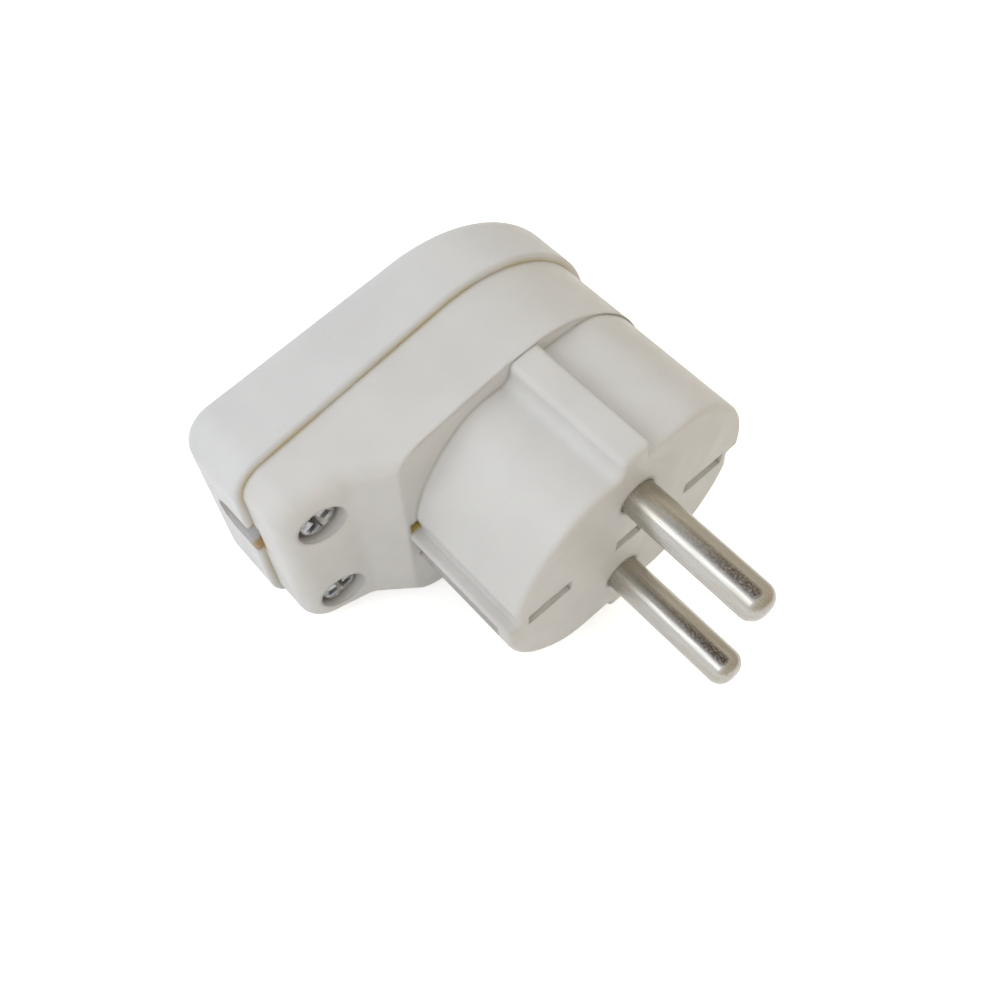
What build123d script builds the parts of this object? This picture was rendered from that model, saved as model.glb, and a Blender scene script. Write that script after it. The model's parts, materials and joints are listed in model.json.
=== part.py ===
"""Angled rewirable Schuko plug, 16 A, lying on its side.

Frame: the origin is the centre of the pin face, +X is the way the pins point,
-Y is the side where the cord leaves and +Z is up. The plug lies on its lower
flank, so the line of the two pins leans away from +Z by the taper of the flanks.
"""

import os
from math import atan, cos, degrees, radians, sin, sqrt, tan

from build123d import *

# Contact pins
pin_diameter = 4.8
pin_length = 19.0
pin_spacing = 19.0
pin_tip_round = 1.9
pin_shank = 6.0
pin_shoulder = 1.2
pin_head_size = 7.0
pin_head_front = 13.0
pin_head_rise = 6.0
pin_head_round = 0.6
wire_hole = 3.0
wire_hole_inset = 3.8

# Outline shared by the base and the cap: a round end that tapers to the cord end
body_radius = 19.6
taper_angle = 10.8
neck_reach = 13.4
end_corner = 4.0

# Depths along the pin axis: boss, housing behind it, cap behind the housing
boss_depth = 17.6
housing_depth = 11.0
cap_depth = 9.4
cap_back_tilt = 2.95

# Boss: two low quarters with a flat, two full quarters with a notch floor, two full ribs,
# each set in from the round end of the body
low_step = 1.3
flat_step = 3.3
notch_step = 2.1
rib_left = 3.3
rib_right = 0.8
boss_step = 0.25
shelf_step = 2.1
lead_length = 3.0
rib_round = 0.8
rib_foot_round = 1.6
quarter_blend = 8.0
shelf_round = 0.35
face_round = 0.7

# Slots in the pin face
face_slot_width = 2.0
face_slot_depth = 0.8
side_slot_length = 6.6
side_slot_margin = 2.1
middle_slot_length = 4.2

# Neck front, behind a sloping shoulder
shoulder_inset = 0.1
shoulder_run = 4.5
shoulder_drop = 3.0
neck_slope = 1.2
neck_round = 2.7
neck_wall = 5.0

# Walls and fits
base_wall = 1.6
chamber_step = 0.2
ledge_wall = 2.4
cap_wall = 2.2
cap_overhang = 0.9
cap_back_round = 2.6
cap_rim_round = 0.4
lip_thickness = 0.8
lip_height = 1.4
lip_clearance = 0.15
fit_clearance = 0.1

# Snap tongue of the cap at the round end
tongue_width = 8.0
tongue_thickness = 1.2
tongue_length = 4.0
tongue_nib = 0.5
tongue_nib_length = 1.4

# Cover screws in the neck
screw_end_inset = 5.0
screw_flank_inset = 6.2
screw_thread = 3.0
screw_hole = 3.3
screw_head = 5.0
screw_head_height = 1.8
screw_counterbore = 6.0
screw_counterbore_depth = 3.2
screw_counterbore_chamfer = 0.35
screw_sink = 0.7
screw_pillar = 6.0
recess_length = 3.0
recess_width = 0.8
recess_depth = 1.0

# Cord inlet and clamp bar
inlet_width = 5.2
inlet_shift = 1.85
inlet_rise = 0.8
inlet_straight = 4.0
cord_rib_width = 1.6
cord_rib_height = 0.8
clamp_bar_width = 5.0
clamp_bar_thickness = 2.4
clamp_bar_margin = 2.6
clamp_saddle_width = 5.0
clamp_saddle_height = 0.5

# Earth bracket
earth_sheet = 0.8
earth_arm_width = 4.6
earth_arm_lip = 0.8
earth_front_wall = 2.0
earth_depth = 2.1
earth_bow = 0.7
earth_pad_length = 12.0
earth_pad_width = 8.8
earth_pad_overlap = 1.0
earth_slot_clearance = 0.3
earth_slot_relief = 0.6
window_width = 1.5
window_height = 2.0

# Earth terminal
earth_thread = 3.5
earth_head = 6.0
earth_head_height = 2.0
earth_length = 5.6
earth_washer_size = 7.6
earth_washer_thickness = 1.0

# Pin terminals
terminal_thread = 3.0
terminal_head = 5.8
terminal_head_height = 1.8
terminal_length = 3.2
driver_slot = 0.8
driver_slot_depth = 0.9
stop_wall = 1.2
stop_clearance = 0.5

# Places worked out from the sizes above, along the pin axis
lean = radians(taper_angle)
cord_end = body_radius + neck_reach
ledge = -boss_depth
parting = ledge - housing_depth
chamber_floor = ledge - ledge_wall
cap_back = parting - cap_depth
cap_floor = cap_back + cap_wall
neck_front = ledge - shoulder_drop
neck_floor = neck_front - neck_wall
pin_head_back = chamber_floor - pin_head_rise
wire_hole_place = pin_head_back + wire_hole_inset
shoulder_taper = degrees(atan((pin_shank - pin_diameter) / 2 / pin_shoulder))
screw_seat = neck_front - screw_counterbore_depth
screw_length = screw_seat - cap_floor + screw_sink
clamp_back = neck_floor - clamp_bar_thickness
inlet_centre = parting - inlet_straight
earth_back = chamber_floor - earth_sheet
arm_front = -(earth_front_wall + earth_slot_clearance)
washer_back = earth_back - earth_washer_thickness

# Places worked out across the pin axis
low_radius = body_radius - low_step
low_flat = body_radius - flat_step
notch_floor = body_radius - notch_step
shelf_reach = body_radius - shelf_step
lead_reach = sqrt(low_radius**2 - lead_length**2)
chamber_radius = body_radius - base_wall - chamber_step
shoulder_start = body_radius - shoulder_inset
shoulder_end = shoulder_start + shoulder_run
earth_reach = low_radius - earth_depth
earth_outside = earth_reach + earth_sheet
channel_floor = earth_reach - earth_slot_clearance
earth_arm_shift = earth_arm_lip + earth_slot_clearance + earth_arm_width / 2
side_slot_place = low_radius - side_slot_margin - side_slot_length / 2
screw_place = cord_end - screw_end_inset
screw_side = (body_radius - screw_place * sin(lean)) / cos(lean) - screw_flank_inset
screw_places = [(-screw_place, screw_side), (-screw_place, -screw_side)]
pin_places = [(0, pin_spacing / 2), (0, -pin_spacing / 2)]


# Leaned planes: across the pin axis, along pin axis and cord, along pin axis and pin line
across = Plane((0, 0, 0), x_dir=(0, cos(lean), sin(lean)), z_dir=(1, 0, 0))
plan = Plane((0, 0, 0), x_dir=(1, 0, 0), z_dir=(0, -sin(lean), cos(lean)))
upright = Plane((0, 0, 0), x_dir=(1, 0, 0), z_dir=(0, -cos(lean), -sin(lean)))


def station(x):
    """Plane across the pin axis at x: its own y runs along the line of the pins."""
    return across.offset(x)


def keystone(grow):
    """Outline of the body, grown outwards by grow: round end, straight taper, cord end."""
    radius = body_radius + grow
    end = -(cord_end + grow)
    tangent = (-radius * sin(lean), radius * cos(lean))
    half_width = (radius + end * sin(lean)) / cos(lean)
    with BuildSketch() as outline:
        with BuildLine():
            flank = Line((end, half_width), tangent)
            ThreePointArc(flank @ 1, (radius, 0), (tangent[0], -tangent[1]))
            other = Line((tangent[0], -tangent[1]), (end, -half_width))
            Line(other @ 1, flank @ 0)
        make_face()
        fillet(outline.vertices().group_by(Axis.X)[0], end_corner + grow)
    return outline.sketch


def boss_outline():
    """Outline of the boss: unchanged when turned by half a turn."""
    with BuildSketch() as quarter:
        Rectangle(body_radius, notch_floor, align=(Align.MIN, Align.MIN))
        with Locations((-rib_left, 0)):
            Rectangle(rib_left + rib_right, body_radius, align=(Align.MIN, Align.MIN))
        Circle(body_radius - boss_step, mode=Mode.INTERSECT)
    with BuildSketch() as outline:
        Circle(low_radius)
        Rectangle(2 * low_radius, 2 * low_flat, mode=Mode.INTERSECT)
        # Slanting lead-in where a low quarter meets the shelf of a full one
        for side in (1, -1):
            Polygon(
                (side * shelf_reach, 0),
                (side * lead_reach, -side * lead_length),
                (side * body_radius, -side * lead_length),
                (side * body_radius, 0),
                align=None,
                mode=Mode.SUBTRACT,
            )
        add(quarter.sketch)
        add(quarter.sketch, rotation=180)
        fillet(outline.vertices().filter_by(is_rib_top), rib_round)
        fillet(outline.vertices().filter_by(is_rib_foot), rib_foot_round)
        fillet(outline.vertices().filter_by(is_quarter_corner), quarter_blend)
        fillet(outline.vertices().filter_by(is_shelf_corner), shelf_round)
    return outline.sketch


def is_rib_top(corner):
    """The outer corner of a rib, on the side of the low quarter."""
    return abs(abs(corner.X) - rib_left) < fit_clearance and abs(corner.Y) > notch_floor


def is_rib_foot(corner):
    """The corner between a rib and the flat of the low quarter."""
    at_foot = abs(abs(corner.Y) - low_flat) < fit_clearance
    return at_foot and abs(abs(corner.X) - rib_left) < fit_clearance


def is_quarter_corner(corner):
    """The blunt corner where a flat or a notch floor meets the round side."""
    return abs(corner.X) > 2 * rib_left and abs(corner.Y) > low_flat - fit_clearance


def is_shelf_corner(corner):
    """The corners of a shelf and of the lead-in beside it."""
    return abs(corner.Y) < lead_length + fit_clearance


def arm_section(outside):
    """Room for the two arms of the earth bracket, one the half turn of the other."""
    width = earth_arm_width + 2 * earth_slot_clearance
    with BuildSketch() as section:
        for side, edge in ((1, Align.MIN), (-1, Align.MAX)):
            with Locations((side * channel_floor, side * earth_arm_shift)):
                Rectangle(outside - channel_floor, width, align=(edge, Align.CENTER))
    return section.sketch


def inlet_section():
    """Cord inlet in the end wall: round at the back, straight up to the rim of the base."""
    with BuildSketch(upright.offset(cord_end - base_wall)) as section:
        with Locations((inlet_centre, inlet_shift)):
            Circle(inlet_width / 2)
            Rectangle(inlet_straight + inlet_rise, inlet_width, align=(Align.MIN, Align.CENTER))
    return section.sketch


# Front boss with soft edges round the pin face, later joined to the base
with BuildPart() as front_boss:
    with BuildSketch(station(ledge)):
        add(boss_outline())
    extrude(amount=boss_depth)
    fillet(front_boss.faces().sort_by(Axis.X)[-1].outer_wire().edges(), face_round)
    # Channels of the earth arms, closed in front
    with BuildSketch(station(ledge)):
        add(arm_section(body_radius))
    extrude(amount=boss_depth - earth_front_wall, mode=Mode.SUBTRACT)

# Base body
with BuildPart() as base_body:
    with BuildSketch(station(parting)):
        add(keystone(0))
    extrude(amount=housing_depth)
    # The neck front is cut back behind the shoulder
    with BuildSketch(plan):
        with BuildLine():
            Polyline(
                (ledge, -shoulder_start),
                (neck_front, -shoulder_end),
                (neck_front - neck_slope, -cord_end),
                (neck_front - neck_slope, -cord_end - body_radius),
                (0, -cord_end - body_radius),
                (0, -shoulder_start),
                close=True,
            )
        make_face()
    extrude(amount=body_radius, both=True, mode=Mode.SUBTRACT)
    front_faces = base_body.faces().filter_by(lambda f: f.normal_at().X > 0.7).sort_by(Axis.Y)
    shoulder_flanks = front_faces[1].edges().filter_by(lambda e: abs(e.tangent_at(0.5).X) > 0.1)
    fillet(front_faces[0].edges() + shoulder_flanks, neck_round)
    add(front_boss.part)
    # Lip that enters the cap
    with BuildSketch(station(parting)):
        add(keystone(lip_thickness - base_wall))
    extrude(amount=-lip_height)
    # Wiring chamber, deep behind the boss and shallow in the neck
    with BuildSketch(station(parting - lip_height)):
        add(keystone(-base_wall))
    extrude(amount=neck_floor - parting + lip_height, mode=Mode.SUBTRACT)
    with BuildSketch(station(parting)):
        Circle(chamber_radius)
    extrude(amount=chamber_floor - parting, mode=Mode.SUBTRACT)
    # Pockets and bores of the pins
    with BuildSketch(station(chamber_floor)):
        with Locations(pin_places):
            Rectangle(pin_head_size + 2 * fit_clearance, pin_head_size + 2 * fit_clearance)
    extrude(amount=-pin_head_front - chamber_floor, mode=Mode.SUBTRACT)
    with BuildSketch(station(chamber_floor)):
        with Locations(pin_places):
            Circle(pin_shank / 2 + fit_clearance / 2)
    extrude(amount=-pin_shoulder - chamber_floor, mode=Mode.SUBTRACT)
    with BuildSketch(station(-pin_shoulder)):
        with Locations(pin_places):
            Circle(pin_shank / 2 + fit_clearance / 2)
    extrude(amount=pin_shoulder, taper=shoulder_taper, mode=Mode.SUBTRACT)
    # Slots that let the arms of the earth bracket through the ledge
    with BuildSketch(station(earth_back - fit_clearance)):
        add(arm_section(earth_outside + earth_slot_relief))
    extrude(amount=ledge - earth_back + fit_clearance, mode=Mode.SUBTRACT)
    # Small core hole in the ledge beside the boss, open to the neck
    with BuildSketch(station(neck_floor)):
        with Locations((-shelf_reach, 0)):
            Rectangle(window_width, window_height, align=(Align.MAX, Align.MIN))
    extrude(amount=ledge - neck_floor, mode=Mode.SUBTRACT)
    # Bore for the tail of the earth screw
    with BuildSketch(station(chamber_floor)):
        Circle(earth_thread / 2 + fit_clearance)
    extrude(amount=earth_length, mode=Mode.SUBTRACT)
    # Slots in the pin face
    with BuildSketch(station(0)):
        with Locations((-side_slot_place, 0), (side_slot_place, 0)):
            Rectangle(side_slot_length, face_slot_width)
        Rectangle(middle_slot_length, face_slot_width)
    extrude(amount=-face_slot_depth, mode=Mode.SUBTRACT)
    # Holes of the cover screws, with chamfered counterbores in the neck front
    with BuildSketch(station(neck_floor)):
        with Locations(screw_places):
            Circle(screw_hole / 2)
    extrude(amount=screw_seat - neck_floor, mode=Mode.SUBTRACT)
    with BuildSketch(station(screw_seat)):
        with Locations(screw_places):
            Circle(screw_counterbore / 2)
    extrude(amount=screw_counterbore_depth, mode=Mode.SUBTRACT)
    neck_face = base_body.faces().filter_by(lambda f: f.normal_at().X > 0.7).sort_by(Axis.Y)[0]
    chamfer([wire.edge() for wire in neck_face.inner_wires()], screw_counterbore_chamfer)
    # Cord inlet, a shallow notch in the end wall and its lip
    extrude(inlet_section(), amount=2 * base_wall, mode=Mode.SUBTRACT)
    # Catch for the snap tongue of the cap
    with BuildSketch(station(parting + tongue_length + fit_clearance)):
        with Locations((chamber_radius, 0)):
            Rectangle(2 * (tongue_nib + fit_clearance), tongue_width + 2 * fit_clearance)
    extrude(amount=-(tongue_nib_length + 2 * fit_clearance), mode=Mode.SUBTRACT)
    with BuildSketch(station(parting)):
        with Locations((chamber_radius + lip_thickness, 0)):
            Rectangle(2 * lip_thickness, tongue_width + 2 * fit_clearance)
    extrude(amount=-lip_height, mode=Mode.SUBTRACT)

# Rear cap
with BuildPart() as rear_cap:
    with BuildSketch(station(parting)):
        add(keystone(cap_overhang))
    extrude(amount=-2 * cap_depth)
    # The back leans a little towards the cord end
    with BuildSketch(plan):
        reach = 2 * cord_end
        rise = reach * tan(radians(cap_back_tilt))
        with BuildLine():
            Polyline(
                (cap_back - rise, -reach),
                (cap_back + rise, reach),
                (cap_back - reach, reach),
                (cap_back - reach, -reach),
                close=True,
            )
        make_face()
    extrude(amount=2 * body_radius, both=True, mode=Mode.SUBTRACT)
    fillet(rear_cap.faces().sort_by(Axis.X)[0].edges(), cap_back_round)
    fillet(rear_cap.faces().sort_by(Axis.X)[-1].edges(), cap_rim_round)
    with BuildSketch(station(cap_floor)):
        add(keystone(-base_wall))
    extrude(amount=parting - cap_floor, mode=Mode.SUBTRACT)
    # Rebate that takes the lip of the base
    with BuildSketch(station(parting)):
        add(keystone(lip_thickness + lip_clearance - base_wall))
    extrude(amount=-(lip_height + lip_clearance), mode=Mode.SUBTRACT)
    # Pillars of the cover screws, up to the clamp bar, and a rib that bites the cord
    with BuildSketch(station(cap_floor)):
        with Locations(screw_places):
            Circle(screw_pillar / 2)
    extrude(amount=clamp_back - cap_floor)
    with BuildSketch(station(cap_floor)):
        with Locations((-screw_place, 0)):
            Rectangle(cord_rib_width, 2 * screw_side)
    extrude(amount=cord_rib_height)
    with BuildSketch(station(clamp_back)):
        with Locations(screw_places):
            Circle(screw_thread / 2 + fit_clearance / 2)
    extrude(amount=cap_floor - clamp_back - screw_sink - fit_clearance, mode=Mode.SUBTRACT)
    # Tubular stops behind the heads of the pins
    with BuildSketch(station(cap_floor)):
        with Locations(pin_places):
            Circle(terminal_head / 2 + stop_clearance + stop_wall)
            Circle(terminal_head / 2 + stop_clearance, mode=Mode.SUBTRACT)
    extrude(amount=pin_head_back - fit_clearance - cap_floor)
    # Snap tongue at the round end
    tongue_face = sqrt(chamber_radius**2 - (tongue_width / 2) ** 2) - fit_clearance
    with BuildSketch(station(cap_floor)):
        with Locations((tongue_face, 0)):
            Rectangle(tongue_thickness, tongue_width, align=(Align.MAX, Align.CENTER))
    extrude(amount=parting - cap_floor + tongue_length)
    with BuildSketch(station(parting + tongue_length)):
        with Locations((tongue_face, 0)):
            Rectangle(
                chamber_radius + tongue_nib - tongue_face,
                tongue_width,
                align=(Align.MIN, Align.CENTER),
            )
    extrude(amount=-tongue_nib_length)
    # Cord inlet through the end wall
    extrude(inlet_section(), amount=2 * base_wall, mode=Mode.SUBTRACT)


def contact_pin(place):
    """Turned pin with a square head that holds the wire under a screw."""
    with BuildPart() as pin:
        with BuildSketch(station(0)):
            with Locations(place):
                Circle(pin_diameter / 2)
        extrude(amount=pin_length)
        fillet(pin.faces().sort_by(Axis.X)[-1].edges(), pin_tip_round)
        # A cone behind the pin face keeps the pin from being pulled out
        with BuildSketch(station(-pin_shoulder)):
            with Locations(place):
                Circle(pin_shank / 2)
        extrude(amount=pin_shoulder, taper=shoulder_taper)
        with BuildSketch(station(-pin_head_front)):
            with Locations(place):
                Circle(pin_shank / 2)
        extrude(amount=pin_head_front - pin_shoulder)
        with BuildSketch(station(pin_head_back)):
            with Locations(place):
                RectangleRounded(pin_head_size, pin_head_size, pin_head_round)
        extrude(amount=-pin_head_front - pin_head_back)
        with BuildSketch(upright):
            with Locations((wire_hole_place, place[1])):
                Circle(wire_hole / 2)
        extrude(amount=pin_head_size, both=True, mode=Mode.SUBTRACT)
        with BuildSketch(station(pin_head_back)):
            with Locations(place):
                Circle(terminal_thread / 2 + fit_clearance / 2)
        extrude(amount=wire_hole_inset, mode=Mode.SUBTRACT)
    return pin.part


def slotted_screw(seat, place, thread, length, head, head_height):
    """Cheese-head screw along the pin axis: the head lies behind the seat."""
    with BuildPart() as screw:
        with BuildSketch(station(seat)):
            with Locations(place):
                Circle(thread / 2)
        extrude(amount=length)
        with BuildSketch(station(seat)):
            with Locations(place):
                Circle(head / 2)
        extrude(amount=-head_height)
        with BuildSketch(station(seat - head_height)):
            with Locations(place):
                Rectangle(2 * head, driver_slot)
        extrude(amount=driver_slot_depth, mode=Mode.SUBTRACT)
    return screw.part


# Pins and their clamp screws
upper_place, lower_place = pin_places
with BuildPart() as contact_pin_upper:
    add(contact_pin(upper_place))
with BuildPart() as contact_pin_lower:
    add(contact_pin(lower_place))
with BuildPart() as terminal_screws:
    for place in pin_places:
        add(
            slotted_screw(
                pin_head_back,
                place,
                terminal_thread,
                terminal_length,
                terminal_head,
                terminal_head_height,
            )
        )

# Earth bracket: a pad and two strips on the chamber floor, two bowed arms along the boss
with BuildPart() as earth_bracket:
    with BuildSketch(station(earth_back)):
        Rectangle(earth_pad_length, earth_pad_width)
        strip_start = earth_pad_length / 2 - earth_pad_overlap
        for side, edge in ((1, Align.MIN), (-1, Align.MAX)):
            with Locations((side * strip_start, side * earth_arm_shift)):
                Rectangle(earth_outside - strip_start, earth_arm_width, align=(edge, Align.CENTER))
        Circle(earth_thread / 2 + fit_clearance, mode=Mode.SUBTRACT)
    extrude(amount=earth_sheet)
    for side in (1, -1):
        inner = side * earth_reach
        outer = side * earth_outside
        middle = (ledge + arm_front) / 2
        with BuildSketch(plan.offset(side * earth_arm_shift)):
            with BuildLine():
                Polyline((ledge, inner), (earth_back, inner), (earth_back, outer), (ledge, outer))
                ThreePointArc((ledge, outer), (middle, outer + side * earth_bow), (arm_front, outer))
                Line((arm_front, outer), (arm_front, inner))
                ThreePointArc((arm_front, inner), (middle, inner + side * earth_bow), (ledge, inner))
            make_face()
        extrude(amount=earth_arm_width / 2, both=True)

# Earth terminal
with BuildPart() as earth_clamp_washer:
    with BuildSketch(station(washer_back)):
        Rectangle(earth_washer_size, earth_washer_size)
        Circle(earth_thread / 2 + fit_clearance, mode=Mode.SUBTRACT)
    extrude(amount=earth_washer_thickness)
with BuildPart() as earth_terminal_screw:
    add(slotted_screw(washer_back, (0, 0), earth_thread, earth_length, earth_head, earth_head_height))

# Cord clamp bar, held between the neck and the pillars of the cap
with BuildPart() as cord_clamp_bar:
    with BuildSketch(station(clamp_back)):
        with Locations((-screw_place, 0)):
            Rectangle(clamp_bar_width, 2 * (screw_side + clamp_bar_margin))
        with Locations(screw_places):
            Circle(screw_hole / 2, mode=Mode.SUBTRACT)
    extrude(amount=clamp_bar_thickness)
    with BuildSketch(station(clamp_back)):
        with Locations((-screw_place, inlet_shift)):
            Rectangle(clamp_bar_width, clamp_saddle_width)
    extrude(amount=-clamp_saddle_height)

# Cover screws with a cross recess
with BuildPart() as cover_screws:
    with BuildSketch(station(screw_seat)):
        with Locations(screw_places):
            Circle(screw_thread / 2)
    extrude(amount=-screw_length)
    with BuildSketch(station(screw_seat)):
        with Locations(screw_places):
            Circle(screw_head / 2)
    extrude(amount=screw_head_height)
    with BuildSketch(station(screw_seat + screw_head_height)):
        with Locations(screw_places):
            Rectangle(recess_length, recess_width)
            Rectangle(recess_width, recess_length)
    extrude(amount=-recess_depth, mode=Mode.SUBTRACT)

pieces = {
    "base_body": base_body,
    "rear_cap": rear_cap,
    "contact_pin_upper": contact_pin_upper,
    "contact_pin_lower": contact_pin_lower,
    "terminal_screws": terminal_screws,
    "earth_bracket": earth_bracket,
    "earth_clamp_washer": earth_clamp_washer,
    "earth_terminal_screw": earth_terminal_screw,
    "cord_clamp_bar": cord_clamp_bar,
    "cover_screws": cover_screws,
}
os.makedirs("parts", exist_ok=True)
for name, piece in pieces.items():
    piece.part.label = name
    export_step(piece.part, f"parts/{name}.step")
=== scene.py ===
"""Looks of the angled Schuko plug: materials, screws, floor, light and camera.

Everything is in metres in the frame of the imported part: +X is the way the pins point,
-Y the side where the cord leaves, +Z up, and the plug lies on its lower flank.
"""

import json
from math import cos, pi, radians, sin, tau

import bmesh
import bpy
from mathutils import Matrix, Vector


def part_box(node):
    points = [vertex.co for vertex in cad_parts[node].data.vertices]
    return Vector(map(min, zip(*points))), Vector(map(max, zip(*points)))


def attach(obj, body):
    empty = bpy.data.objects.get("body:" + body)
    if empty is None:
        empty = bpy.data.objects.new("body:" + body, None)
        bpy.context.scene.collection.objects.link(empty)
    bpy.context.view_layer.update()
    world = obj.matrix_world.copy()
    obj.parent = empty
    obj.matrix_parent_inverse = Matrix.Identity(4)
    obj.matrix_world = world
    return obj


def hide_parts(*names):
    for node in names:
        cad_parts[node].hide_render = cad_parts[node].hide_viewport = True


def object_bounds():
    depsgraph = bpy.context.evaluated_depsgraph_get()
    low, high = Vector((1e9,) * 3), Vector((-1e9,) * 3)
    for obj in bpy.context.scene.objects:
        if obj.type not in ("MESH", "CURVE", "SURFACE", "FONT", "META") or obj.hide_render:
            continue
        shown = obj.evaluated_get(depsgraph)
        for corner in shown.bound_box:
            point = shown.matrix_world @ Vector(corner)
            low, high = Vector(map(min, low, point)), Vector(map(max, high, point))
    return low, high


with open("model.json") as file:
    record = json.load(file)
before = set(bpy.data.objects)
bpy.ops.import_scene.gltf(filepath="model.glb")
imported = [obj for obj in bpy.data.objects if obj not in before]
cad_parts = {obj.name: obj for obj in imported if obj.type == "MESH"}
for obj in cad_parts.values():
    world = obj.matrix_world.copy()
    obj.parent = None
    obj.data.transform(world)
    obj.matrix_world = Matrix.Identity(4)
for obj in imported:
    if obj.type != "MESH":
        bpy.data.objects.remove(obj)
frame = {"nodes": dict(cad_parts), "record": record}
cad_low, cad_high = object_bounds()
nodes = frame["nodes"]
scene = bpy.context.scene
scene.view_settings.view_transform = "Standard"

# Colours, linear
housing_white = (0.640, 0.636, 0.631)
cap_white = (0.648, 0.655, 0.665)
# Tan of random specks, and of painted shade in gaps and hollows
speck_and_shade_tan = (0.400, 0.330, 0.215)
# Olive painted shade in the seam gap
seam_shade_olive = (0.560, 0.420, 0.120)
# Warm painted shade inside the cord inlet
inlet_shade_amber = (0.520, 0.345, 0.150)
hole_olive = (0.700, 0.610, 0.240)
nickel = (0.455, 0.446, 0.425)
nickel_worn = (0.370, 0.331, 0.267)
# Dark of the painted reflection band on the pins
painted_reflection_dark = (0.085, 0.065, 0.052)
earth_grey = (0.560, 0.550, 0.530)
earth_dull = (0.380, 0.360, 0.320)
zinc = (0.400, 0.400, 0.410)
# Dark of the painted shade in the screw recesses
zinc_shade_dark = (0.290, 0.285, 0.295)
fibre_tan = (0.420, 0.230, 0.090)
fibre_dark = (0.240, 0.120, 0.045)

# Plastic surface: waves of its patterns per metre, shades, strengths and heights in metres
noise_middle = (0.3, 0.7)
mottle_waves = 110
mottle_shades = (0.965, 1.02)
speck_waves = 1900
speck_range = (0.70, 0.78)
speck_strength = 0.16
gap_reach = 0.0014
gap_shade_range = (0.05, 0.50)
seam_range = (0.30, 0.85)
seam_strength = 0.9
patch_waves = 160
patch_range = (0.35, 0.60)
patch_strength = (0.35, 1.0)
satin_waves = 420
satin_roughness = (0.40, 0.54)
soft_edge = 0.0009
swell_waves = 170
swell_strength = 0.22
swell_height = 0.0004
grain_waves = 6500
grain_strength = 0.16
grain_height = 0.00003
plastic_gloss = 0.42
plastic_scatter = 0.12
plastic_scatter_depth = 0.0008

# Drawn metal: waves per metre along the pins and across, shades, strengths
line_waves = (260, 9000, 9000)
line_range = (0.30, 0.70)
line_strength = 0.40
line_shade = 0.78
line_rough_range = (0.25, 0.75)
line_bump = 0.18
line_height = 0.00002
streak_waves = (150, 1500, 1500)
streak_range = (0.50, 0.66)
streak_strength = 0.45
fleck_waves = (3800, 5200, 5200)
fleck_range = (0.30, 0.62)
fleck_strength = (0.45, 1.0)
reflection_band_range = (0.925, 0.997)
reflection_band_reach = (0.000, 0.017)
reflection_band_strength = (0.15, 1.0)
foot_reach = (0.000, 0.006)
foot_strength = 0.60
pin_roughness = (0.22, 0.38)
earth_roughness = (0.34, 0.55)

# Zinc and fibre surfaces
cloud_waves = 1300
cloud_range = (0.38, 0.62)
cloud_shades = (1.20, 0.65)
recess_reach = 0.0012
recess_shade_range = (0.15, 0.80)
zinc_rough_waves = 2500
zinc_roughness = (0.34, 0.56)
zinc_grain_waves = 5200
zinc_grain_strength = 0.2
zinc_grain_height = 0.00003
fibre_waves = (1500, 6000, 900)
fibre_range = (0.45, 0.65)
fibre_roughness = (0.60, 0.80)
fibre_strength = 0.3
fibre_height = 0.00005

# Light and stage
world_level = 0.79
key_from = Vector((-0.10, -0.88, 0.46))
key_distance = 0.5
key_size = (0.46, 0.20)
key_power = 0.62
key_colour = (0.93, 0.97, 1.0)
floor_size = 4.0
floor_white = 0.80
floor_lift = 0.60
fill_from = Vector((0.70, 0.45, 0.55))
fill_distance = 0.6
fill_size = (0.40, 0.40)
fill_power = 0.35
fill_colour = (1.0, 0.84, 0.66)
card_tan = (0.930, 0.845, 0.695)
card_gap = 0.20
card_width = 0.60
card_height = 0.34
card_roughness = 0.9
ceiling_tan = (0.860, 0.780, 0.630)
ceiling_height = 0.34
ceiling_start = -0.02
ceiling_depth = 0.26
ceiling_width = 1.2

# Cover screws
screw_head_radius = 0.0025
screw_shank_radius = 0.00145
screw_head_height = 0.0018
screw_edge_drop = 0.0005
screw_pitch = 0.0008
screw_thread_depth = 0.00025
recess_half_length = 0.00170
recess_half_width = 0.00050
recess_depth = 0.0010
recess_taper = 0.45
head_steps = 64
head_seat_share = 0.6
head_dome = ((0.55, 0.12), (0.20, 0.16))
rim_steps = 6
thread_steps = 32
thread_rows_per_turn = 8
upper_screw_turn = radians(38)
lower_screw_turn = radians(12)

# Camera, from the fit to the two pins
camera_place = (0.033746, -0.0697468, 0.0992528)
camera_right = (0.669126, 0.731415, 0.131538)
camera_up = (-0.641893, 0.479636, 0.598267)
camera_back = (0.374490, -0.484749, 0.790427)
camera_lens = 37.7445
camera_near = 0.001

# Shading: the sharpest edge that stays smooth, and the rays for gaps and soft edges
smooth_angle = radians(42)
shade_samples = 4

# Side of the pins that carries the painted dark reflection band, up and a little to the cord side
reflection_band_side = (0.0, -0.36, 0.933)

# Directions along the pins, along the cord and along the line of the pins
lean = radians(10.8)
pin_axis = (1.0, 0.0, 0.0)
cord_axis = (0.0, cos(lean), sin(lean))
pin_line = (0.0, -sin(lean), cos(lean))

# Places of the plastic that are tinted, with painted warm shade inside the cord inlet: ranges along the
# pins, the cord and the line of the pins
lip_height = 0.0014
seam_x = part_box("base_body")[0][0] + lip_height
seam_half = 0.0005
inlet_room = ((seam_x - 0.0010, seam_x + 0.0012), (-0.03296, -0.0290), (-0.0012, 0.0049))
cap_inlet_room = ((seam_x - 0.0013, seam_x + 0.0002), (-0.0337, -0.0290), (-0.0012, 0.0049))
hole_room = ((seam_x, -0.01763), (-0.0192, -0.0174), (-0.0001, 0.0022))
inlet_edge = 0.0005
hole_edge = 0.00003


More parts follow.
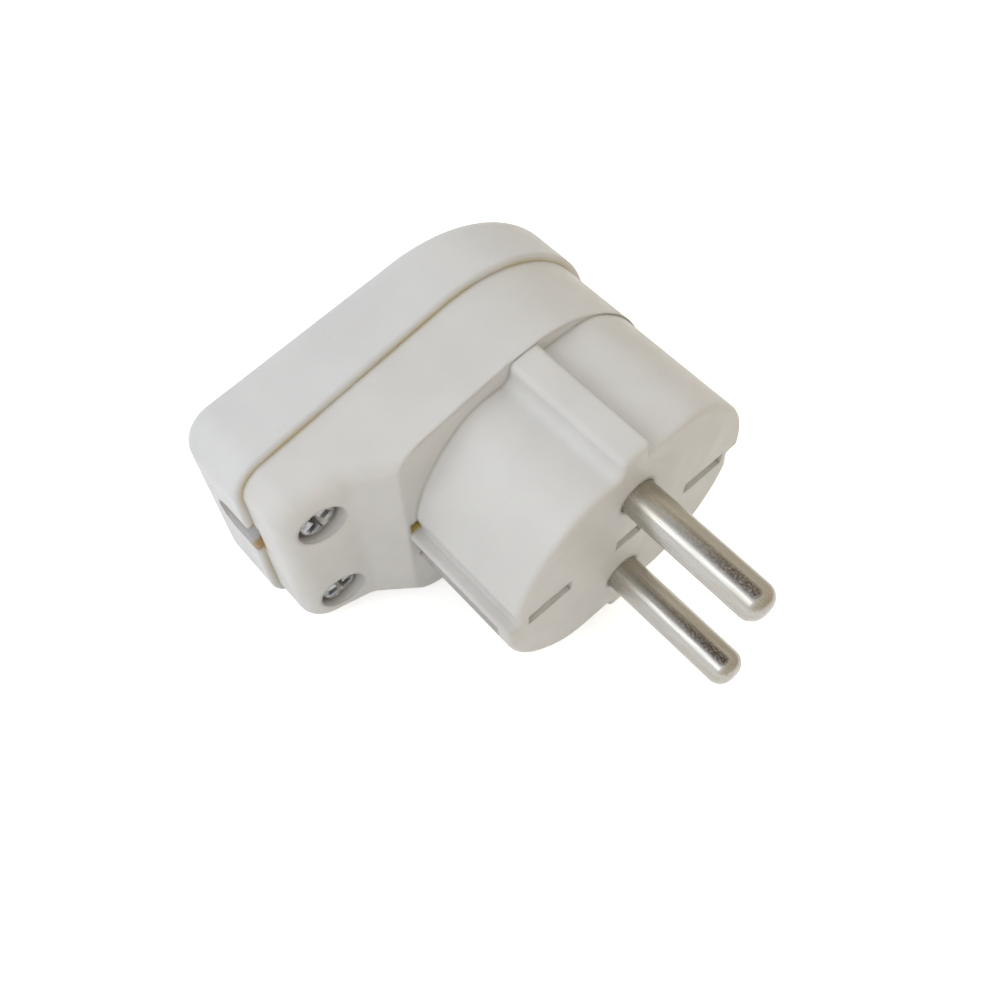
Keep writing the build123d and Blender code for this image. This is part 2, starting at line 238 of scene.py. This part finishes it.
def new_material(name):
    """A material with its node tree and its main shader."""
    material = bpy.data.materials.new(name)
    material.use_nodes = True
    return material, material.node_tree, material.node_tree.nodes["Principled BSDF"]


def put(tree, kind, **settings):
    """A new node; settings are its own properties."""
    made = tree.nodes.new(kind)
    for name, value in settings.items():
        setattr(made, name, value)
    return made


def noise(tree, scale, detail, stretch=(1, 1, 1)):
    """Noise in the frame of the part; scale is in waves per metre, stretched per axis."""
    place = put(tree, "ShaderNodeTexCoord")
    mapping = put(tree, "ShaderNodeMapping")
    mapping.inputs["Scale"].default_value = stretch
    made = put(tree, "ShaderNodeTexNoise")
    made.inputs["Scale"].default_value = scale
    made.inputs["Detail"].default_value = detail
    tree.links.new(place.outputs["Object"], mapping.inputs["Vector"])
    tree.links.new(mapping.outputs["Vector"], made.inputs["Vector"])
    return made.outputs["Fac"]


def spread(tree, value, from_range, to_range):
    """The value, moved from one range to another and kept inside it."""
    made = put(tree, "ShaderNodeMapRange", interpolation_type="SMOOTHSTEP")
    for socket, number in zip(list(made.inputs)[1:5], from_range + to_range):
        socket.default_value = number
    tree.links.new(value, made.inputs["Value"])
    return made.outputs["Result"]


def blend(tree, amount, first, second):
    """A colour between first and second; each is a colour or a socket."""
    made = put(tree, "ShaderNodeMix", data_type="RGBA")
    amount_socket, first_socket, second_socket = made.inputs[0], made.inputs[6], made.inputs[7]
    tree.links.new(amount, amount_socket)
    for socket, colour in ((first_socket, first), (second_socket, second)):
        if isinstance(colour, bpy.types.NodeSocket):
            tree.links.new(colour, socket)
        else:
            socket.default_value = (*colour, 1)
    return made.outputs[2]


def openness(tree, distance):
    """How open the room within a distance is: 1 in the open, 0 deep in a gap."""
    made = put(tree, "ShaderNodeAmbientOcclusion", samples=shade_samples)
    made.inputs["Distance"].default_value = distance
    return made.outputs["AO"]


def bump(tree, height, strength, distance, under=None):
    """A bump normal from a height, on top of another bump."""
    made = put(tree, "ShaderNodeBump")
    made.inputs["Strength"].default_value = strength
    made.inputs["Distance"].default_value = distance
    tree.links.new(height, made.inputs["Height"])
    if under is not None:
        tree.links.new(under, made.inputs["Normal"])
    return made.outputs["Normal"]


def tinted(colour, factor):
    """The colour, lighter or darker by a factor."""
    return tuple(channel * factor for channel in colour)


def product(tree, *values):
    """Values multiplied."""
    total = values[0]
    for value in values[1:]:
        made = put(tree, "ShaderNodeMath", operation="MULTIPLY")
        tree.links.new(total, made.inputs[0])
        tree.links.new(value, made.inputs[1])
        total = made.outputs[0]
    return total


def along(tree, direction, output="Object"):
    """How far a point, or the normal there, reaches along a direction of the part."""
    place = put(tree, "ShaderNodeTexCoord")
    made = put(tree, "ShaderNodeVectorMath", operation="DOT_PRODUCT")
    made.inputs[1].default_value = direction
    tree.links.new(place.outputs[output], made.inputs[0])
    return made.outputs["Value"]


def within(tree, direction, low, high, edge):
    """1 between two places along a direction, 0 outside."""
    reach = along(tree, direction)
    above = spread(tree, reach, (low - edge, low + edge), (0.0, 1.0))
    below = spread(tree, reach, (high - edge, high + edge), (1.0, 0.0))
    return product(tree, above, below)


def room(tree, ranges, edge):
    """1 inside a box along the pins, the cord and the line of the pins, fading over an edge."""
    axes = (pin_axis, cord_axis, pin_line)
    sides = [within(tree, axis, *span, edge) for axis, span in zip(axes, ranges)]
    return product(tree, *sides)


def moulded_plastic(name, white, tints_and_shades):
    """Satin thermoplastic: soft edges, faint mottling, mould grain, tan painted shade in gaps, olive
    painted shade along the seam.
    """
    material, tree, shader = new_material(name)
    mottling = spread(tree, noise(tree, mottle_waves, 4), noise_middle, (0.0, 1.0))
    dark_shade, light_shade = mottle_shades
    colour = blend(tree, mottling, tinted(white, dark_shade), tinted(white, light_shade))
    specks = spread(tree, noise(tree, speck_waves, 2), speck_range, (0.0, speck_strength))
    colour = blend(tree, specks, colour, speck_and_shade_tan)
    # Tan painted shade in gaps and hollows: the less open, the darker
    open_air = openness(tree, gap_reach)
    colour = blend(tree, spread(tree, open_air, gap_shade_range, (0.0, 1.0)), speck_and_shade_tan, colour)
    # Olive painted shade along the seam gap, patchy, strongest where the gap is most closed
    seam = within(tree, pin_axis, seam_x - seam_half, seam_x + seam_half, seam_half / 2)
    shut = spread(tree, open_air, seam_range, (seam_strength, 0.0))
    patchy = spread(tree, noise(tree, patch_waves, 3), patch_range, patch_strength)
    colour = blend(tree, product(tree, seam, shut, patchy), colour, seam_shade_olive)
    # Colours in boxes: warm painted shade inside the cord inlet, and an olive tint in a small hole
    for ranges, edge, box_colour in tints_and_shades:
        colour = blend(tree, room(tree, ranges, edge), colour, box_colour)
    tree.links.new(colour, shader.inputs["Base Color"])
    satin = spread(tree, noise(tree, satin_waves, 3), noise_middle, satin_roughness)
    tree.links.new(satin, shader.inputs["Roughness"])
    edges = put(tree, "ShaderNodeBevel", samples=shade_samples)
    edges.inputs["Radius"].default_value = soft_edge
    swell = bump(tree, noise(tree, swell_waves, 2), swell_strength, swell_height, edges.outputs["Normal"])
    grain = bump(tree, noise(tree, grain_waves, 2), grain_strength, grain_height, swell)
    tree.links.new(grain, shader.inputs["Normal"])
    shader.inputs["Specular IOR Level"].default_value = plastic_gloss
    shader.inputs["Subsurface Weight"].default_value = plastic_scatter
    shader.inputs["Subsurface Scale"].default_value = plastic_scatter_depth
    return material


def drawn_metal(name, bright, worn, roughness):
    """Plated metal with fine lines along X, worn and stained in long streaks, with a painted dark
    reflection band on one side and painted reflection of the face at the foot.
    """
    material, tree, shader = new_material(name)
    lines = noise(tree, 1, 4, line_waves)
    streaks = spread(tree, noise(tree, 1, 5, streak_waves), streak_range, (0.0, streak_strength))
    colour = blend(tree, streaks, bright, worn)
    sheen = spread(tree, lines, line_range, (0.0, line_strength))
    colour = blend(tree, sheen, colour, tinted(bright, line_shade))
    # Painted dark reflection: a speckled band on one side of the pins, stronger at the tip
    along_pin = along(tree, pin_axis)
    flecks = spread(tree, noise(tree, 1, 5, fleck_waves), fleck_range, fleck_strength)
    faced = spread(tree, along(tree, reflection_band_side, "Normal"), reflection_band_range, (0.0, 1.0))
    growth = spread(tree, along_pin, reflection_band_reach, reflection_band_strength)
    colour = blend(tree, product(tree, faced, flecks, growth), colour, painted_reflection_dark)
    # Painted reflection of the plastic face: darker towards the foot of each pin
    foot_reflection = spread(tree, along_pin, foot_reach, (foot_strength, 0.0))
    colour = blend(tree, foot_reflection, colour, worn)
    tree.links.new(colour, shader.inputs["Base Color"])
    rough = spread(tree, lines, line_rough_range, roughness)
    tree.links.new(rough, shader.inputs["Roughness"])
    tree.links.new(bump(tree, lines, line_bump, line_height), shader.inputs["Normal"])
    shader.inputs["Metallic"].default_value = 1.0
    return material


def plated_steel(name):
    """Dull zinc with a cloudy passivated tint and painted dark shade in the recesses."""
    material, tree, shader = new_material(name)
    cloud = spread(tree, noise(tree, cloud_waves, 4), cloud_range, (0.0, 1.0))
    light_shade, dark_shade = cloud_shades
    colour = blend(tree, cloud, tinted(zinc, light_shade), tinted(zinc, dark_shade))
    # Painted dark shade in the driver recess and other hollows
    open_air = spread(tree, openness(tree, recess_reach), recess_shade_range, (0.0, 1.0))
    colour = blend(tree, open_air, zinc_shade_dark, colour)
    tree.links.new(colour, shader.inputs["Base Color"])
    rough = spread(tree, noise(tree, zinc_rough_waves, 3), noise_middle, zinc_roughness)
    tree.links.new(rough, shader.inputs["Roughness"])
    grain = bump(tree, noise(tree, zinc_grain_waves, 2), zinc_grain_strength, zinc_grain_height)
    tree.links.new(grain, shader.inputs["Normal"])
    shader.inputs["Metallic"].default_value = 1.0
    return material


def pressed_fibre(name):
    """Tan fibre board with short dark fibres."""
    material, tree, shader = new_material(name)
    fibres = spread(tree, noise(tree, 1, 4, fibre_waves), fibre_range, (0.0, 1.0))
    tree.links.new(blend(tree, fibres, fibre_tan, fibre_dark), shader.inputs["Base Color"])
    tree.links.new(spread(tree, fibres, (0.0, 1.0), fibre_roughness), shader.inputs["Roughness"])
    tree.links.new(bump(tree, fibres, fibre_strength, fibre_height), shader.inputs["Normal"])
    return material


materials = {
    "housing": moulded_plastic(
        "housing_plastic",
        housing_white,
        ((inlet_room, inlet_edge, inlet_shade_amber), (hole_room, hole_edge, hole_olive)),
    ),
    "cap": moulded_plastic("cap_plastic", cap_white, ((cap_inlet_room, inlet_edge, inlet_shade_amber),)),
    "pin_metal": drawn_metal("pin_nickel", nickel, nickel_worn, pin_roughness),
    "earth_metal": drawn_metal("earth_nickel", earth_grey, earth_dull, earth_roughness),
    "screw_steel": plated_steel("screw_zinc"),
    "clamp_fibre": pressed_fibre("clamp_fibre"),
}

# Every CAD node takes the material of its slot and shades smoothly over its rounds
for subpart in frame["record"]["subparts"]:
    piece = nodes[subpart["node"]]
    piece.data.materials.clear()
    piece.data.materials.append(materials[subpart["material_slot"]])
    piece.data.shade_smooth()
    piece.data.set_sharp_from_angle(angle=smooth_angle)


def mesh_piece(name, mesh_data, material):
    """A new object of a bmesh, in the scene."""
    mesh = bpy.data.meshes.new(name)
    mesh_data.to_mesh(mesh)
    mesh_data.free()
    made = bpy.data.objects.new(name, mesh)
    made.data.materials.append(material)
    scene.collection.objects.link(made)
    return made


def turned(name, profile, steps, material):
    """A solid turned about Z from (radius, height) points, closed at both ends."""
    shape = bmesh.new()
    rings = []
    for radius, height in profile:
        turns = [tau * step / steps for step in range(steps)]
        rings.append([shape.verts.new((radius * cos(a), radius * sin(a), height)) for a in turns])
    for below, above in zip(rings, rings[1:]):
        for step in range(steps):
            after = (step + 1) % steps
            shape.faces.new((below[step], below[after], above[after], above[step]))
    shape.faces.new(list(reversed(rings[0])))
    shape.faces.new(rings[-1])
    return mesh_piece(name, shape, material)


def threaded_shank(name, length, material):
    """A screw thread about Z, from 0 down to -length: one ridge that winds along it."""
    steps = thread_steps
    rows = int(length / screw_pitch * thread_rows_per_turn)
    shape = bmesh.new()
    rings = []
    for row in range(rows + 1):
        height = -length * row / rows
        ring = []
        for step in range(steps):
            turn = (height / screw_pitch - step / steps) % 1.0
            radius = screw_shank_radius - screw_thread_depth * abs(2 * turn - 1)
            angle = tau * step / steps
            ring.append(shape.verts.new((radius * cos(angle), radius * sin(angle), height)))
        rings.append(ring)
    for above, below in zip(rings, rings[1:]):
        for step in range(steps):
            after = (step + 1) % steps
            shape.faces.new((below[step], below[after], above[after], above[step]))
    shape.faces.new(rings[0])
    shape.faces.new(list(reversed(rings[-1])))
    return mesh_piece(name, shape, material)


def cross_cutter(name, top):
    """Tapered cross that cuts the driver recess into a head whose top is at height top."""
    shape = bmesh.new()
    for half_x, half_y in (
        (recess_half_length, recess_half_width),
        (recess_half_width, recess_half_length),
    ):
        rings = []
        for height, scale in ((top + recess_depth, 1.0), (top, 1.0), (top - recess_depth, recess_taper)):
            corners = ((1, 1), (-1, 1), (-1, -1), (1, -1))
            rings.append(
                [shape.verts.new((x * half_x * scale, y * half_y * scale, height)) for x, y in corners]
            )
        for above, below in zip(rings, rings[1:]):
            for corner in range(4):
                after = (corner + 1) % 4
                shape.faces.new((below[corner], below[after], above[after], above[corner]))
        shape.faces.new(rings[0])
        shape.faces.new(list(reversed(rings[-1])))
    return mesh_piece(name, shape, materials["screw_steel"])


def cover_screw(name, place, length, turn):
    """Pan-head screw along X at place, its seat at the origin of its own frame."""
    steel = materials["screw_steel"]
    edge = screw_edge_drop
    radius, height = screw_head_radius, screw_head_height
    arc = [radians(90) * part / rim_steps for part in range(rim_steps + 1)]
    rim = [(radius - edge + edge * cos(a), height - edge + edge * sin(a)) for a in arc]
    dome = [(radius * across, height + edge * rise) for across, rise in head_dome]
    seat = [(radius * head_seat_share, 0), (radius, 0)]
    head = turned(name, seat + rim + dome, head_steps, steel)
    cutter = cross_cutter(name + "_cutter", height)
    cut = head.modifiers.new("recess", "BOOLEAN")
    cut.object = cutter
    cut.solver = "EXACT"
    cut.use_self = True
    bpy.context.view_layer.update()
    shaped = bpy.data.meshes.new_from_object(head.evaluated_get(bpy.context.evaluated_depsgraph_get()))
    head.modifiers.clear()
    head.data = shaped
    bpy.data.objects.remove(cutter)
    shank = threaded_shank(name + "_shank", length, steel)
    to_part = Matrix.Translation(place) @ Matrix.Rotation(pi / 2, 4, "Y") @ Matrix.Rotation(turn, 4, "Z")
    for piece in (head, shank):
        piece.data.transform(to_part)
        piece.data.shade_smooth()
        piece.data.set_sharp_from_angle(angle=smooth_angle)
    return head, shank


# The two cover screws stand where the CAD screws are
screws_low, screws_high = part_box("cover_screws")
seat_x = screws_high[0] - screw_head_height
shank_length = seat_x - screws_low[0]
upper_place = (seat_x, screws_low[1] + screw_head_radius, screws_high[2] - screw_head_radius)
lower_place = (seat_x, screws_high[1] - screw_head_radius, screws_low[2] + screw_head_radius)
for name, place, turn in (
    ("cover_screw_upper", upper_place, upper_screw_turn),
    ("cover_screw_lower", lower_place, lower_screw_turn),
):
    for piece in cover_screw(name, place, shank_length, turn):
        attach(piece, "root")
        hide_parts("cover_screws")


def show_background(tree):
    """1 for what the camera, a mirror or a glass shows, 0 for light."""
    path = put(tree, "ShaderNodeLightPath")
    total = path.outputs["Is Camera Ray"]
    for name in ("Is Glossy Ray", "Is Transmission Ray"):
        joined = put(tree, "ShaderNodeMath", operation="MAXIMUM")
        tree.links.new(total, joined.inputs[0])
        tree.links.new(path.outputs[name], joined.inputs[1])
        total = joined.outputs[0]
    return total


# White surroundings, at a plain level where they light the part
world = bpy.data.worlds.new("studio")
scene.world = world
world.use_nodes = True
world_tree = world.node_tree
world_light = world_tree.nodes["Background"]
world_light.inputs["Strength"].default_value = world_level
world_light.inputs["Color"].default_value = (1, 1, 1, 1)
world_seen = put(world_tree, "ShaderNodeBackground")
world_seen.inputs["Color"].default_value = (1, 1, 1, 1)
world_mix = put(world_tree, "ShaderNodeMixShader")
world_tree.links.new(show_background(world_tree), world_mix.inputs["Fac"])
world_tree.links.new(world_light.outputs[0], world_mix.inputs[1])
world_tree.links.new(world_seen.outputs[0], world_mix.inputs[2])
world_tree.links.new(world_mix.outputs[0], world_tree.nodes["World Output"].inputs["Surface"])


def soft_light(name, direction, distance, size, power, colour):
    """An area light that looks at the part from a direction."""
    data = bpy.data.lights.new(name, "AREA")
    data.shape = "RECTANGLE"
    data.size, data.size_y = size
    data.energy = power
    data.color = colour
    lamp = bpy.data.objects.new(name, data)
    lamp.location = direction.normalized() * distance
    lamp.rotation_euler = direction.to_track_quat("Z", "Y").to_euler()
    scene.collection.objects.link(lamp)


# Soft window light from the cord side and a warm fill from the room
soft_light("window", key_from, key_distance, key_size, key_power, key_colour)
soft_light("room", fill_from, fill_distance, fill_size, fill_power, fill_colour)


def stage_plane(name, width, depth, to_stage, material):
    """A flat rectangle of the stage, placed by a matrix."""
    shape = bmesh.new()
    corners = ((-1, -1), (1, -1), (1, 1), (-1, 1))
    shape.faces.new([shape.verts.new((x * width / 2, y * depth / 2, 0)) for x, y in corners])
    made = mesh_piece(name, shape, material)
    made.matrix_world = to_stage
    return made


# Pale floor: white to the eye, with the shadow of the part
floor_material, floor_tree, floor_shader = new_material("pale_floor")
floor_tree.nodes.remove(floor_shader)
floor_bounce = put(floor_tree, "ShaderNodeBsdfDiffuse")
floor_bounce.inputs["Color"].default_value = (floor_white, floor_white, floor_white, 1)
floor_glow = put(floor_tree, "ShaderNodeEmission")
floor_glow.inputs["Strength"].default_value = floor_lift
floor_seen = put(floor_tree, "ShaderNodeAddShader")
floor_mix = put(floor_tree, "ShaderNodeMixShader")
floor_tree.links.new(floor_bounce.outputs[0], floor_seen.inputs[0])
floor_tree.links.new(floor_glow.outputs[0], floor_seen.inputs[1])
floor_tree.links.new(show_background(floor_tree), floor_mix.inputs["Fac"])
floor_tree.links.new(floor_bounce.outputs[0], floor_mix.inputs[1])
floor_tree.links.new(floor_seen.outputs[0], floor_mix.inputs[2])
floor_tree.links.new(floor_mix.outputs[0], floor_tree.nodes["Material Output"].inputs["Surface"])
floor_place = Matrix.Translation((0, 0, cad_low[2]))
stage_plane("floor", floor_size, floor_size, floor_place, floor_material)

# Tan cards on the room side: they warm the pin face and show in the metal
card_material, card_tree, card_shader = new_material("room_card")
card_shader.inputs["Base Color"].default_value = (*card_tan, 1)
card_shader.inputs["Roughness"].default_value = card_roughness
card_middle = cad_low[2] + card_height / 2
for name, place, turn in (
    ("card_front", (cad_high[0] + card_gap, 0, card_middle), Matrix.Rotation(-pi / 2, 4, "Y")),
    ("card_side", (0, cad_high[1] + card_gap, card_middle), Matrix.Rotation(pi / 2, 4, "X")),
):
    size = (card_height, card_width) if name == "card_front" else (card_width, card_height)
    card = stage_plane(name, *size, Matrix.Translation(place) @ turn, card_material)
    card.visible_camera = False

# Tan ceiling over the room side: seen in gloss only, from above the pins to the side card
ceiling_material, ceiling_tree, ceiling_shader = new_material("room_ceiling")
ceiling_tree.nodes.remove(ceiling_shader)
ceiling_glow = put(ceiling_tree, "ShaderNodeEmission")
ceiling_glow.inputs["Color"].default_value = (*ceiling_tan, 1)
ceiling_tree.links.new(ceiling_glow.outputs[0], ceiling_tree.nodes["Material Output"].inputs["Surface"])
ceiling_place = (0, ceiling_start + ceiling_depth / 2, ceiling_height)
ceiling = stage_plane(
    "room_ceiling", ceiling_width, ceiling_depth, Matrix.Translation(ceiling_place), ceiling_material
)
ceiling.visible_camera = False
ceiling.visible_diffuse = False
ceiling.visible_shadow = False

# Camera at the photograph's place
camera_data = bpy.data.cameras.new("camera")
camera_data.lens = camera_lens
camera_data.clip_start = camera_near
camera = bpy.data.objects.new("camera", camera_data)
turned_axes = Matrix((camera_right, camera_up, camera_back)).transposed().to_4x4()
camera.matrix_world = Matrix.Translation(camera_place) @ turned_axes
scene.collection.objects.link(camera)
scene.camera = camera

bpy.context.view_layer.update()
